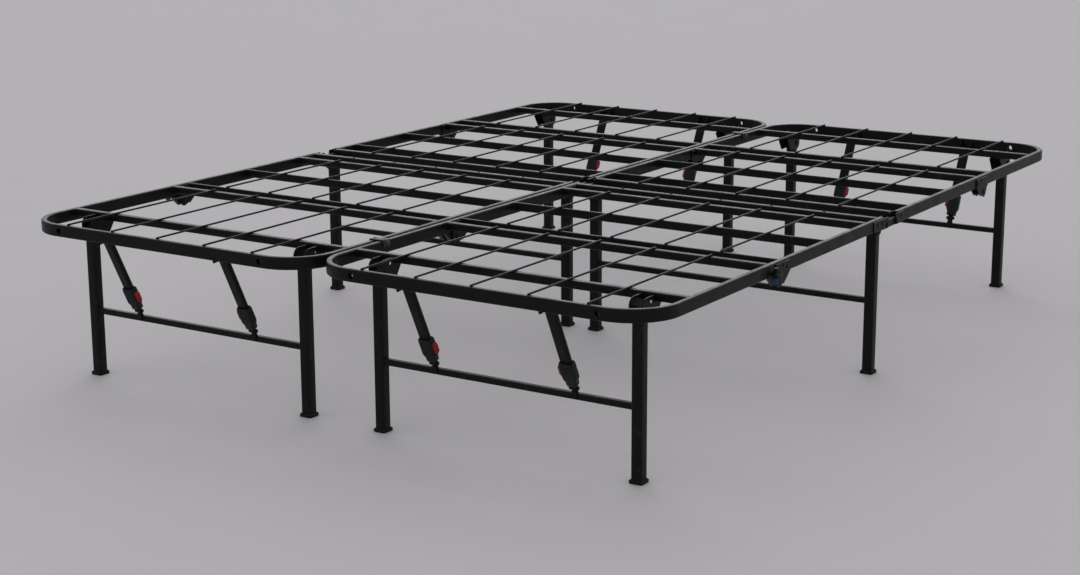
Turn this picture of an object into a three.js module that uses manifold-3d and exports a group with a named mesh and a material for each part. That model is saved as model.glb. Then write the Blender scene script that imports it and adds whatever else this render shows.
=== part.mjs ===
// Folding platform bed frame, queen size: two halves side by side, each of four hinged sections.
// Millimetres, +Z up. X runs across the bed, Y from the foot end to the head end. The origin is on
// the floor, under the centre of the outline.
import * as THREE from 'three';
import { mergeVertices } from 'three/addons/utils/BufferGeometryUtils.js';
import Module from 'manifold-3d';

const wasm = await Module();
wasm.setup();

// ---- Driving dimensions ----
const HALF_WIDTH = 759; // one half, over its side rails
const HALF_GAP = 6; // between the two halves
const LENGTH = 2019; // over the end rails
const HEIGHT = 354; // floor to the top of the deck wires
const FIT = 0.3; // clearance between pieces that touch
const WELD = 0.2; // how far welded pieces run into each other

const WIRE_R = 2.1;
const WIRE_PITCH = 124;
const WIRES = 5;
const WIRE_SINK = 0.2;
const WIRE_TIP_DROP = 13; // how far a wire's end turns down behind its last tube
const DECK_TOP = HEIGHT - 2 * WIRE_R + WIRE_SINK; // top of every rail and cross tube

const RAIL_W = 12.7;
const RAIL_H = 25.4;
const WALL = 1.5;
const EDGE = 1.8; // chamfer along the edges of all square tube
const CORNER_R = 100; // outer radius of the bent corners, seen from above
const RAIL_Z = DECK_TOP - RAIL_H / 2;
const RAIL_BOTTOM = DECK_TOP - RAIL_H;
const TUBE = 16; // cross tubes, square with round edges
const BAR_T = 8; // cross bars, narrower and taller
const BAR_H = 18;

// Where the sections meet, and where the cross members lie, from the foot end.
const NEAR_BREAK = 480;
const FAR_BREAK = LENGTH - NEAR_BREAK;
const LINK_NEAR = 984; // pivots of the links that join the two middle sections
const LINK_FAR = 1036;
const LINK_Z = 332;
const HINGE_Z = 312; // pivots of the end sections, below the rails
const LEG_TUBE_Y = 150; // from the nearer end
const FOOT_TUBES = [LEG_TUBE_Y, 452];
const HEAD_TUBES = [LEG_TUBE_Y, 427]; // from the head end
const NEAR_MID = { bars: [500, 702], tubes: [900, 960] };
const FAR_MID = { bars: [1122, 1330], tubes: [1519], linkTube: 1040 };

// Legs
const LEG = 22.2;
const END_LEG_INSET = 90; // leg centre from the half's edge
const MID_LEG_INSET = 36.5;
const END_LEG_Y = 115;
const MID_LEG_Y = 1000;
const END_PIVOT_Z = 317;
const MID_PIVOT_Z = 314;
const END_BAR_Z = 143;
const MID_BAR_Z = 160;
const LEG_BAR_H = 13;
const PIN_R = 4.5;
const CAP_FLANGE = 8; // height of the part of a foot cap that stands below the leg
const CAP_FOOT = 28.6;
const CAP_H = 26;

// Struts that lock the end legs
const STRUT_OFFSET = 157; // from the half's centre line
const STRUT_PIVOT = { y: 27, z: 325 };
const STRUT_W = 24;
const STRUT_T = 11;
const BUCKLE_START = 122; // along the strut, from its pivot
const BUCKLE_LENGTH = 54;
const BUCKLE_W = 30;
const BUCKLE_T = 18;
const BUCKLE_GRIP = 7; // how far the strut runs into the buckle
const BUTTON_L = 24;
const BUTTON_W = 11;
const BUTTON_OUT = 6.5;

const STEEL = { color: 0x191b19, roughness: 0.5, metalness: 0.3 };
const BLACK_PLASTIC = { color: 0x0e0f0e, roughness: 0.8, metalness: 0 };
const PLASTIC = { color: 0x14181a, roughness: 0.55, metalness: 0 };
const RED = { color: 0x5c1416, roughness: 0.5, metalness: 0 };
const BLUE = { color: 0x14283c, roughness: 0.5, metalness: 0 };
const GREY = { color: 0x5c5f5e, roughness: 0.5, metalness: 0.4 };

const frame = new THREE.Group();

// ---- Solids ----
function solid(geometry) {
  const bare = geometry.clone();
  bare.deleteAttribute('normal');
  bare.deleteAttribute('uv');
  const merged = mergeVertices(bare, 1e-4);
  const mesh = new wasm.Mesh({
    numProp: 3,
    vertProperties: new Float32Array(merged.attributes.position.array),
    triVerts: new Uint32Array(merged.index.array),
  });
  mesh.merge();
  return new wasm.Manifold(mesh);
}

function joined(solids) {
  return solids.reduce((all, next) => all.add(next));
}

function addNode(name, body, look) {
  const { vertProperties, triVerts } = body.asOriginal().simplify(0.002).getMesh();
  const geometry = new THREE.BufferGeometry();
  geometry.setAttribute('position', new THREE.BufferAttribute(new Float32Array(vertProperties), 3));
  geometry.setIndex(new THREE.BufferAttribute(new Uint32Array(triVerts), 1));
  geometry.computeVertexNormals();
  const mesh = new THREE.Mesh(geometry, new THREE.MeshStandardMaterial(look));
  mesh.name = name;
  frame.add(mesh);
}

// An outline drawn in (u, v) and drawn out along an axis: along x, u is Y and v is Z; along y,
// u is Z and v is X; along z, u is X and v is Y.
const AXES = {
  x: new THREE.Matrix4().set(0, 0, 1, 0, 1, 0, 0, 0, 0, 1, 0, 0, 0, 0, 0, 1),
  y: new THREE.Matrix4().set(0, 1, 0, 0, 0, 0, 1, 0, 1, 0, 0, 0, 0, 0, 0, 1),
  z: new THREE.Matrix4(),
};

function drawn(shape, axis, from, to) {
  const settings = { depth: to - from, bevelEnabled: false, curveSegments: 4 };
  const geometry = new THREE.ExtrudeGeometry(shape, settings);
  geometry.translate(0, 0, from);
  geometry.applyMatrix4(AXES[axis]);
  return solid(geometry);
}

// A rectangle with its corners cut off at 45 degrees.
function edgedRect(w, h, edge = EDGE) {
  const x = w / 2;
  const y = h / 2;
  return new THREE.Shape([
    [x - edge, -y], [x, edge - y], [x, y - edge], [x - edge, y],
    [edge - x, y], [-x, y - edge], [-x, edge - y], [edge - x, -y],
  ].map(([u, v]) => new THREE.Vector2(u, v)));
}

// A square-section tube, as its outside and the bore to cut from the finished weldment.
function tubeX(x0, x1, y, z, w, h) {
  const outer = drawn(edgedRect(w, h), 'x', x0, x1).translate(0, y, z);
  const u = w / 2 - WALL;
  const v = h / 2 - WALL;
  const inner = box(x0 - WALL, x1 + WALL, y - u, y + u, z - v, z + v);
  return { outer, inner };
}

function box(x0, x1, y0, y1, z0, z1) {
  const geometry = new THREE.BoxGeometry(x1 - x0, y1 - y0, z1 - z0);
  geometry.translate((x0 + x1) / 2, (y0 + y1) / 2, (z0 + z1) / 2);
  return solid(geometry);
}

function rodX(x0, x1, y, z, r, sides = 8) {
  const geometry = new THREE.CylinderGeometry(r, r, x1 - x0, sides);
  geometry.rotateZ(Math.PI / 2);
  geometry.translate((x0 + x1) / 2, y, z);
  return solid(geometry);
}

// A deck wire: six-sided, its flats above and below and r from its centre.
function wireY(x, y0, y1, z, r) {
  const round = r / Math.cos(Math.PI / 6);
  const geometry = new THREE.CylinderGeometry(round, round, y1 - y0, 6);
  geometry.rotateY(Math.PI / 6);
  geometry.translate(x, (y0 + y1) / 2, z);
  return solid(geometry);
}

function rodZ(x, y, z0, z1, r, sides = 8) {
  const geometry = new THREE.CylinderGeometry(r, r, z1 - z0, sides);
  geometry.rotateX(Math.PI / 2);
  geometry.translate(x, y, (z0 + z1) / 2);
  return solid(geometry);
}

// ---- Deck parts ----
// One side rail between two sections, straight along Y.
function straightRail(x, y0, y1) {
  const outer = drawn(edgedRect(RAIL_H, RAIL_W), 'y', y0, y1).translate(x, 0, RAIL_Z);
  const w = RAIL_W / 2 - WALL;
  const h = RAIL_H / 2 - WALL;
  const inner = box(x - w, x + w, y0 - 1, y1 + 1, RAIL_Z - h, RAIL_Z + h);
  return { outer, inner };
}

// A U of tube seen from above, its closed side at y = 0 and its open ends at y = reach.
function bentRail(xc, reach, inset) {
  const x = HALF_WIDTH / 2 - inset;
  const y = inset;
  const r = CORNER_R - inset;
  const band = RAIL_W - 2 * inset;
  const inner = r - band;
  const end = reach + (inset > 0 ? 1 : 0);
  const shape = new THREE.Shape();
  shape.moveTo(x, end);
  shape.lineTo(x, y + r);
  shape.absarc(x - r, y + r, r, 0, -Math.PI / 2, true);
  shape.lineTo(-x + r, y);
  shape.absarc(-x + r, y + r, r, -Math.PI / 2, -Math.PI, true);
  shape.lineTo(-x, end);
  shape.lineTo(-x + band, end);
  shape.lineTo(-x + band, y + r);
  shape.absarc(-x + r, y + r, inner, Math.PI, 1.5 * Math.PI, false);
  shape.lineTo(x - r, y + band);
  shape.absarc(x - r, y + r, inner, -Math.PI / 2, 0, false);
  shape.lineTo(x - band, end);
  const round = inset > 0 ? 0 : EDGE;
  const height = RAIL_H - 2 * inset;
  const geometry = new THREE.ExtrudeGeometry(shape, {
    depth: height - 2 * round,
    bevelEnabled: round > 0,
    bevelThickness: round,
    bevelSize: round,
    bevelOffset: -round,
    bevelSegments: 1,
    curveSegments: 4,
  });
  geometry.translate(xc, 0, RAIL_BOTTOM + inset + round);
  return solid(geometry);
}

// A flat plate in the Y-Z plane, from x0 to x1, with round holes.
function sidePlate(points, x0, x1, holes = []) {
  const shape = new THREE.Shape(points.map(([y, z]) => new THREE.Vector2(y, z)));
  for (const [y, z, r] of holes) {
    const hole = new THREE.Path();
    hole.absarc(y, z, r, 0, 2 * Math.PI, true);
    shape.holes.push(hole);
  }
  return drawn(shape, 'x', x0, x1);
}

function arc(cy, cz, r, from, to, steps = 4) {
  const points = [];
  for (let i = 0; i <= steps; i += 1) {
    const a = THREE.MathUtils.degToRad(from + ((to - from) * i) / steps);
    points.push([cy + r * Math.cos(a), cz + r * Math.sin(a)]);
  }
  return points;
}

const halves = [
  { side: 'left', xc: -(HALF_GAP + HALF_WIDTH) / 2, outward: -1 },
  { side: 'right', xc: (HALF_GAP + HALF_WIDTH) / 2, outward: 1 },
];
const RAIL_OFFSET = (HALF_WIDTH - RAIL_W) / 2;

// Turn a solid built for the foot end round to the head end.
function atHeadEnd(body) {
  return body.rotate([0, 0, 180]).translate([0, LENGTH, 0]);
}

function welded(outers, bores) {
  const body = joined(outers);
  return bores.length ? body.subtract(joined(bores)) : body;
}

function crossTubes(xc, ys, w, h) {
  const reach = HALF_WIDTH / 2 - RAIL_W + WALL / 2;
  return ys.map((y) => tubeX(xc - reach, xc + reach, y, DECK_TOP - h / 2, w, h));
}

function deckTubes(xc, ys) {
  return crossTubes(xc, ys, TUBE, TUBE);
}

// ---- Pivots between the sections ----
const CHEEK_T = 2.5;
const CHEEK_X = RAIL_W / 2 + FIT; // inner face of the break's cheek plates, from the rail's centre
const BREAK_PIN_R = 4;
const PIN_FIT = 0.6;
const EAR_W = RAIL_W - 1.4;

// The cheek plates that straddle the end of the next section's rail, with their rivet.
function breakCheeks(x) {
  const y = NEAR_BREAK;
  const outline = [
    [y - 16, DECK_TOP - 3],
    [y + 46, DECK_TOP - 3],
    [y + 46, RAIL_BOTTOM + 2],
    [y + 18, HINGE_Z - 9],
    ...arc(y, HINGE_Z, 12, -50, -170),
    [y - 16, HINGE_Z + 4],
  ];
  const solids = [rodX(x - CHEEK_X - CHEEK_T, x + CHEEK_X + CHEEK_T, y, HINGE_Z, BREAK_PIN_R)];
  for (const side of [-1, 1]) {
    const near = x + side * CHEEK_X;
    const far = near + side * CHEEK_T;
    solids.push(sidePlate(outline, Math.min(near, far), Math.max(near, far)));
    const pad = [x + side * (RAIL_W / 2 - WELD), near + side * WELD].sort((a, b) => a - b);
    solids.push(box(pad[0], pad[1], y + 6, y + 42, RAIL_Z - 8, RAIL_Z + 8));
  }
  return solids;
}

// The ear under an end section's rail that turns on that rivet.
function breakEar(x) {
  const y = NEAR_BREAK;
  const outline = [
    [y - 34, RAIL_BOTTOM + WELD],
    [y - 14, HINGE_Z - 6],
    ...arc(y, HINGE_Z, 8.5, -130, 55),
    [y - 1, RAIL_BOTTOM + WELD],
  ];
  return sidePlate(outline, x - EAR_W / 2, x + EAR_W / 2, [[y, HINGE_Z, BREAK_PIN_R + PIN_FIT]]);
}

const LINK_REACH = 8; // how far a link cheek or a link's end runs past its pivot
const LINK_RAIL_END = 11; // the rail stops this far short of the pivot
const LINK_W = RAIL_W - 1.4;

// Cheek plates at the middle break: toRail is -1 where the rail lies towards the foot end.
function linkCheeks(x, pivotY, toRail, length) {
  const tip = pivotY - toRail * LINK_REACH;
  const back = pivotY + toRail * length;
  const outline = [
    [back, RAIL_BOTTOM + 1],
    [back, DECK_TOP - 2],
    [tip + toRail * 2, DECK_TOP - 2],
    [tip, DECK_TOP - 4],
    [tip, RAIL_BOTTOM + 2],
    [tip + toRail * 2, RAIL_BOTTOM],
  ];
  if (toRail > 0) outline.reverse();
  const inside = RAIL_W / 2 - WELD;
  return [
    sidePlate(outline, x - inside - CHEEK_T, x - inside),
    sidePlate(outline, x + inside, x + inside + CHEEK_T),
    rodX(x - inside - CHEEK_T, x + inside + CHEEK_T, pivotY, LINK_Z, BREAK_PIN_R),
  ];
}

function link(x) {
  const outline = [
    ...arc(LINK_FAR, LINK_Z, LINK_REACH, -90, 90, 5),
    ...arc(LINK_NEAR, LINK_Z, LINK_REACH, 90, 270, 5),
  ];
  const holes = [LINK_NEAR, LINK_FAR].map((y) => [y, LINK_Z, BREAK_PIN_R + PIN_FIT]);
  return sidePlate(outline, x - LINK_W / 2, x + LINK_W / 2, holes);
}

// ---- Leg and strut brackets ----
const BRACKET_R = 16;
const EAR_OUT = MID_LEG_INSET - LEG / 2 - 1 - CHEEK_T - RAIL_W / 2; // from the rail's centre

// Two cheek plates, round-nosed, on the front and the underside of the leg tube.
function legBracket(x) {
  const face = LEG_TUBE_Y - TUBE / 2 + WELD;
  const under = DECK_TOP - TUBE + WELD;
  const outline = [
    [LEG_TUBE_Y + 18, DECK_TOP - TUBE - 1],
    [LEG_TUBE_Y - 2, END_PIVOT_Z - 15],
    ...arc(END_LEG_Y, END_PIVOT_Z, BRACKET_R, -60, -180),
    ...arc(END_LEG_Y, DECK_TOP - 4 - BRACKET_R, BRACKET_R, 180, 90),
    [face, DECK_TOP - 4],
    [face, under],
    [LEG_TUBE_Y + TUBE / 2, under],
  ].reverse();
  const hole = [END_LEG_Y, END_PIVOT_Z, PIN_R + PIN_FIT];
  const inside = LEG / 2 + 1;
  return [
    sidePlate(outline, x - inside - CHEEK_T, x - inside, [hole]),
    sidePlate(outline, x + inside, x + inside + CHEEK_T, [hole]),
  ];
}

// The angle under a middle section's rail: a flange against the rail and the cheek beside the leg,
// which the middle leg frame turns on.
function middleLegEar(x, inward) {
  const back = MID_LEG_Y - 30;
  const outline = [
    [back, RAIL_BOTTOM + 4],
    [back, RAIL_BOTTOM - 3],
    ...arc(MID_LEG_Y, MID_PIVOT_Z, 10, -150, 20),
    [MID_LEG_Y + 2, RAIL_BOTTOM + 4],
  ];
  const near = x + inward * EAR_OUT;
  const far = near + inward * CHEEK_T;
  const face = x + inward * (RAIL_W / 2 - WELD);
  const hole = [MID_LEG_Y, MID_PIVOT_Z, PIN_R + PIN_FIT];
  return [
    sidePlate(outline, Math.min(near, far), Math.max(near, far), [hole]),
    box(Math.min(face, far), Math.max(face, far), back, MID_LEG_Y - 12, RAIL_BOTTOM + 1.5, RAIL_BOTTOM + 4),
  ];
}

function strutBracket(x) {
  const { y, z } = STRUT_PIVOT;
  const face = RAIL_W - WELD;
  const outline = [
    [face, z - 9],
    ...arc(y, z, 8.5, -60, 60),
    [face + 5, DECK_TOP - 3],
    [face, DECK_TOP - 3],
  ];
  const inside = STRUT_W / 2 + 0.6;
  return [
    sidePlate(outline, x - inside - 2, x - inside),
    sidePlate(outline, x + inside, x + inside + 2),
    rodX(x - inside - 2, x + inside + 2, y, z, BREAK_PIN_R),
  ];
}

// ---- Sections ----
// An end section, drawn at the foot end, for the half whose centre is at xc.
function endSection(xc, tubes, wires) {
  const outers = [bentRail(xc, NEAR_BREAK - FIT / 2, 0)];
  const bores = [bentRail(xc, NEAR_BREAK, WALL)];
  for (const tube of deckTubes(xc, tubes)) {
    outers.push(tube.outer);
    bores.push(tube.inner);
  }
  const legX = HALF_WIDTH / 2 - END_LEG_INSET;
  for (const side of [-1, 1]) {
    outers.push(...legBracket(xc + side * legX));
    outers.push(...strutBracket(xc + side * STRUT_OFFSET));
    outers.push(breakEar(xc + side * RAIL_OFFSET));
  }
  return welded([...outers, ...wires], bores);
}

const WIRE_Z = DECK_TOP + WIRE_R - WIRE_SINK;
const TIP_REACH = TUBE / 2 + WIRE_R - WELD; // from a tube's centre to the turned-down wire behind it

function wiresAlong(xc, from, to) {
  const solids = [];
  for (let i = 0; i < WIRES; i += 1) {
    const x = xc + (i - (WIRES - 1) / 2) * WIRE_PITCH;
    solids.push(wireY(x, from, to, WIRE_Z, WIRE_R));
  }
  return solids;
}

// Wires that end turned down behind the tube at toTube.
function wiresOver(xc, from, toTube) {
  const tip = toTube + TIP_REACH;
  const solids = wiresAlong(xc, from, tip + WIRE_R);
  for (let i = 0; i < WIRES; i += 1) {
    const x = xc + (i - (WIRES - 1) / 2) * WIRE_PITCH;
    const r = WIRE_R - 0.1;
    solids.push(box(x - r, x + r, tip - r, tip + WIRE_R, WIRE_Z - WIRE_TIP_DROP, WIRE_Z));
  }
  return solids;
}

const PIN_SITE = { y: NEAR_BREAK - 28, out: RAIL_W / 2 + FIT + CHEEK_T + 5.5 };
const LOCK_PIN_R = 3.5;
const LUG_Z = [326.5, 332];

// The lug on an outer rail's cheek that guides the lock pin.
function pinLug(x, outward) {
  const face = x + outward * (CHEEK_X + CHEEK_T - WELD);
  const edge = x + outward * (PIN_SITE.out + 6.5);
  const lug = box(Math.min(face, edge), Math.max(face, edge), PIN_SITE.y - 6.5, NEAR_BREAK - 6, ...LUG_Z);
  const px = x + outward * PIN_SITE.out;
  return lug.subtract(rodZ(px, PIN_SITE.y, LUG_Z[0] - 2, LUG_Z[1] + 2, LOCK_PIN_R + PIN_FIT));
}

function footMiddleSection(half) {
  const { xc } = half;
  const outers = [...wiresOver(xc, NEAR_MID.bars[0] - BAR_T / 2, NEAR_MID.tubes[0])];
  const bores = [];
  for (const side of [-1, 1]) {
    const x = xc + side * RAIL_OFFSET;
    const rail = straightRail(x, NEAR_BREAK + FIT / 2, LINK_NEAR - LINK_RAIL_END);
    outers.push(rail.outer, ...breakCheeks(x), ...linkCheeks(x, LINK_NEAR, -1, 68));
    outers.push(...middleLegEar(x, -side));
    if (side === half.outward) outers.push(pinLug(x, side));
    bores.push(rail.inner);
  }
  for (const t of [...crossTubes(xc, NEAR_MID.bars, BAR_T, BAR_H), ...deckTubes(xc, NEAR_MID.tubes)]) {
    outers.push(t.outer);
    bores.push(t.inner);
  }
  return welded(outers, bores);
}

function headMiddleSection(half) {
  const { xc } = half;
  const outers = [...wiresOver(xc, FAR_MID.linkTube - TUBE / 2, FAR_MID.tubes[0])];
  const bores = [];
  for (const side of [-1, 1]) {
    const x = xc + side * RAIL_OFFSET;
    const rail = straightRail(x, LINK_FAR + LINK_RAIL_END, FAR_BREAK - FIT / 2);
    outers.push(rail.outer, ...linkCheeks(x, LINK_FAR, 1, 38));
    outers.push(...breakCheeks(-x).map(atHeadEnd));
    bores.push(rail.inner);
  }
  for (const t of [...crossTubes(xc, FAR_MID.bars, BAR_T, BAR_H), ...deckTubes(xc, FAR_MID.tubes)]) {
    outers.push(t.outer);
    bores.push(t.inner);
  }
  // The tube at the links ends on the inner cheek plates, so a drain hole opens its bore.
  const reach = RAIL_OFFSET - RAIL_W / 2 - CHEEK_T + 2 * WELD;
  const tube = tubeX(xc - reach, xc + reach, FAR_MID.linkTube, DECK_TOP - TUBE / 2, TUBE, TUBE);
  outers.push(tube.outer);
  const bore = box(xc - reach + 2, xc + reach - 2, FAR_MID.linkTube - 6, FAR_MID.linkTube + 6,
    DECK_TOP - TUBE + 2, DECK_TOP - 2);
  bores.push(bore, rodZ(xc, FAR_MID.linkTube, DECK_TOP - TUBE - 1, DECK_TOP - TUBE + 3, 3));
  return welded(outers, bores);
}

// ---- Leg frames ----
const STRUT_AIM = Math.atan2(STRUT_PIVOT.z - END_BAR_Z, END_LEG_Y - STRUT_PIVOT.y);
const STRUT_SPAN = Math.hypot(STRUT_PIVOT.z - END_BAR_Z, END_LEG_Y - STRUT_PIVOT.y);
const CATCH_W = 12;
const CATCH_T = 3;
const CATCH_START = BUCKLE_START + BUCKLE_LENGTH - 10;
const BOLT_AT = BUCKLE_START + BUCKLE_LENGTH + 7; // the tongue's cross bolt
const BOLT_R = 3;
const BOLT_REACH = 10;
const TONGUE_T = 3; // the tongue's foot, on the front of the crossbar

// Place a solid drawn along +Y from its pivot at the origin onto the strut's line at x.
function onStrut(body, x) {
  return body
    .rotate([-THREE.MathUtils.radToDeg(STRUT_AIM), 0, 0])
    .translate([x, STRUT_PIVOT.y, STRUT_PIVOT.z]);
}

function legFrame(xc, inset, y, pivotZ, barZ, outerPins) {
  const reach = HALF_WIDTH / 2 - inset;
  const outers = [];
  const bores = [];
  for (const side of [-1, 1]) {
    const x = xc + side * reach;
    outers.push(drawn(edgedRect(LEG, LEG), 'z', CAP_FLANGE + FIT, pivotZ).translate(x, y, 0));
    outers.push(rodX(x - LEG / 2, x + LEG / 2, y, pivotZ, LEG / 2, 12));
    const out = x + side * (LEG / 2 + outerPins.out);
    const into = x - side * (LEG / 2 + outerPins.into);
    outers.push(rodX(Math.min(out, into), Math.max(out, into), y, pivotZ, PIN_R));
    const half = LEG / 2 - WALL;
    bores.push(box(x - half, x + half, y - half, y + half, CAP_FLANGE - 1, pivotZ - 8));
  }
  const barReach = reach - LEG / 2 + WALL / 2;
  const bar = tubeX(xc - barReach, xc + barReach, y, barZ, LEG_BAR_H, LEG_BAR_H);
  outers.push(bar.outer);
  bores.push(bar.inner);
  return { outers, bores };
}

function endLegFrame(xc) {
  const pins = { out: 1 + CHEEK_T + 0.5, into: 1 + CHEEK_T + 0.5 };
  const { outers, bores } = legFrame(xc, END_LEG_INSET, END_LEG_Y, END_PIVOT_Z, END_BAR_Z, pins);
  for (const side of [-1, 1]) {
    const x = xc + side * STRUT_OFFSET;
    const w = CATCH_W / 2;
    const end = STRUT_SPAN - LEG_BAR_H / 2 + 0.5;
    outers.push(onStrut(box(-w, w, CATCH_START, end, -CATCH_T / 2, CATCH_T / 2), x));
    outers.push(onStrut(rodX(-BOLT_REACH, BOLT_REACH, BOLT_AT, 0, BOLT_R), x));
    const front = END_LEG_Y - LEG_BAR_H / 2;
    const high = END_BAR_Z + LEG_BAR_H / 2 + 4;
    outers.push(box(x - w, x + w, front - TONGUE_T, front + WELD, END_BAR_Z - 4, high));
  }
  return welded(outers, bores);
}

function middleLegFrame(xc) {
  const pins = { out: 1 + CHEEK_T + 1.5, into: 1.5 };
  const { outers, bores } = legFrame(xc, MID_LEG_INSET, MID_LEG_Y, MID_PIVOT_Z, MID_BAR_Z, pins);
  return welded(outers, bores);
}

// A square-based frustum, its faces square to X and Y.
function squareTaper(x, y, z0, z1, side0, side1) {
  const half = Math.SQRT1_2;
  const geometry = new THREE.CylinderGeometry(side1 * half, side0 * half, z1 - z0, 4, 1);
  geometry.rotateY(Math.PI / 4);
  geometry.rotateX(Math.PI / 2);
  geometry.translate(x, y, (z0 + z1) / 2);
  return solid(geometry);
}

// A flange as wide as the leg's foot and a plug up its bore.
function footCap(x, y) {
  const plug = LEG / 2 - WALL - FIT;
  return joined([
    squareTaper(x, y, 0, 1.5, CAP_FOOT - 2, CAP_FOOT),
    squareTaper(x, y, 1.5, 5, CAP_FOOT, CAP_FOOT),
    squareTaper(x, y, 5, CAP_FLANGE, CAP_FOOT, LEG + 2),
    box(x - plug, x + plug, y - plug, y + plug, CAP_FLANGE - 1, CAP_H),
  ]);
}

// ---- Struts, buckles and buttons, drawn along +Y from the pivot ----
function strut() {
  const length = BUCKLE_START + BUCKLE_GRIP;
  const bar = drawn(edgedRect(STRUT_T, STRUT_W, 2.5), 'y', 0, length);
  const round = rodX(-STRUT_W / 2, STRUT_W / 2, 0, 0, STRUT_T / 2);
  const w = STRUT_W / 2 - 4;
  const t = STRUT_T / 2 - WALL;
  const bore = box(-w, w, 10, length + 1, -t, t);
  return bar.add(round).subtract(bore).subtract(rodX(-STRUT_W, STRUT_W, 0, 0, BREAK_PIN_R + PIN_FIT));
}

const BUTTON_Y = BUCKLE_START + BUCKLE_GRIP + 2;
const BUTTON_DEPTH = 10.5;

function buckle(buttonSide) {
  const end = BUCKLE_START + BUCKLE_LENGTH;
  const w = BUCKLE_W / 2;
  const shell = drawn(edgedRect(BUCKLE_T, BUCKLE_W, 3), 'y', BUCKLE_START, end);
  const grip = box(-STRUT_W / 2 - FIT, STRUT_W / 2 + FIT, BUCKLE_START - 1, BUCKLE_START + BUCKLE_GRIP + FIT,
    -STRUT_T / 2 - FIT, STRUT_T / 2 + FIT);
  const room = CATCH_W / 2 + 1.2;
  const slot = box(-room, room, BUCKLE_START + BUCKLE_GRIP - 1, end + 1, -CATCH_T, CATCH_T);
  const near = Math.min(0, buttonSide * (w + 1));
  const far = Math.max(0, buttonSide * (w + 1));
  const tall = BUTTON_W / 2 + FIT;
  const window = box(near, far, BUTTON_Y - FIT, BUTTON_Y + BUTTON_L + FIT, -tall, tall);
  return shell.subtract(grip).subtract(slot).subtract(window);
}

function button(buttonSide) {
  const out = BUCKLE_W / 2 + BUTTON_OUT;
  const ends = [buttonSide * out, buttonSide * (out - BUTTON_DEPTH)].sort((a, b) => a - b);
  const body = drawn(edgedRect(BUTTON_L, BUTTON_W, 2), 'x', ends[0], ends[1]);
  return body.translate(0, BUTTON_Y + BUTTON_L / 2, 0);
}

function lockPin(x, outward) {
  const px = x + outward * PIN_SITE.out;
  const { y } = PIN_SITE;
  return joined([
    rodZ(px, y, LUG_Z[0] - 6, LUG_Z[1] + 10, LOCK_PIN_R),
    rodZ(px, y, LUG_Z[1] + 9, LUG_Z[1] + 12.5, LOCK_PIN_R + 1.5),
    rodZ(px, y, LUG_Z[0] - 13.5, LUG_Z[0] - 1.5, LOCK_PIN_R + 2),
  ]);
}

// The clip that lies over the two halves' inner rails and keeps them side by side.
function connector(y) {
  const inside = HALF_GAP / 2 + RAIL_W + FIT;
  const outside = inside + CHEEK_T;
  const top = DECK_TOP + FIT + CHEEK_T;
  const low = DECK_TOP - 12;
  const outline = [
    [-outside, low],
    [-inside, low],
    [-inside, DECK_TOP + FIT],
    [inside, DECK_TOP + FIT],
    [inside, low],
    [outside, low],
    [outside, top],
    [-outside, top],
  ].map(([x, z]) => new THREE.Vector2(z, x)).reverse();
  return drawn(new THREE.Shape(outline), 'y', y - 10, y + 10);
}

// ---- Assembly ----
const CONNECTOR_Y = 238;

function addEnd(half, end) {
  const name = `${half.side}_${end}`;
  const turned = end === 'head';
  const place = turned ? atHeadEnd : (body) => body;
  const xc = turned ? -half.xc : half.xc;
  const wires = turned
    ? wiresAlong(xc, WIRE_R, HEAD_TUBES[1] + TUBE / 2)
    : wiresOver(xc, RAIL_W / 2, FOOT_TUBES[1]);
  const section = endSection(xc, turned ? HEAD_TUBES : FOOT_TUBES, wires);
  addNode(`${name}_section`, place(section), STEEL);
  addNode(`${name}_leg_frame`, place(endLegFrame(xc)), STEEL);
  for (const side of [-1, 1]) {
    const rank = (side * (turned ? -1 : 1) + 3) / 2;
    const legX = xc + side * (HALF_WIDTH / 2 - END_LEG_INSET);
    const strutX = xc + side * STRUT_OFFSET;
    addNode(`${name}_foot_cap_${rank}`, place(footCap(legX, END_LEG_Y)), BLACK_PLASTIC);
    addNode(`${name}_strut_${rank}`, place(onStrut(strut(), strutX)), STEEL);
    addNode(`${name}_buckle_${rank}`, place(onStrut(buckle(-side), strutX)), PLASTIC);
    addNode(`${name}_button_${rank}`, place(onStrut(button(-side), strutX)), RED);
  }
}

for (const half of halves) {
  addEnd(half, 'foot');
  const outerRail = half.xc + half.outward * RAIL_OFFSET;
  addNode(`${half.side}_lock_pin`, lockPin(outerRail, half.outward), BLUE);
  addNode(`${half.side}_foot_middle_section`, footMiddleSection(half), STEEL);
  addNode(`${half.side}_head_middle_section`, headMiddleSection(half), STEEL);
  addNode(`${half.side}_middle_leg_frame`, middleLegFrame(half.xc), STEEL);
  addEnd(half, 'head');
  for (const side of [-1, 1]) {
    const rank = (side + 3) / 2;
    const legX = half.xc + side * (HALF_WIDTH / 2 - MID_LEG_INSET);
    addNode(`${half.side}_middle_foot_cap_${rank}`, footCap(legX, MID_LEG_Y), BLACK_PLASTIC);
    addNode(`${half.side}_link_${rank}`, link(half.xc + side * RAIL_OFFSET), STEEL);
  }
}
addNode('foot_connector', connector(CONNECTOR_Y), GREY);
addNode('head_connector', connector(LENGTH - CONNECTOR_Y), GREY);

// Centre the bed's length on the origin.
frame.position.y = -LENGTH / 2;

export default frame;
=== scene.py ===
import math

import bmesh
import bpy
from mathutils import Matrix, Vector, noise


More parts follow.
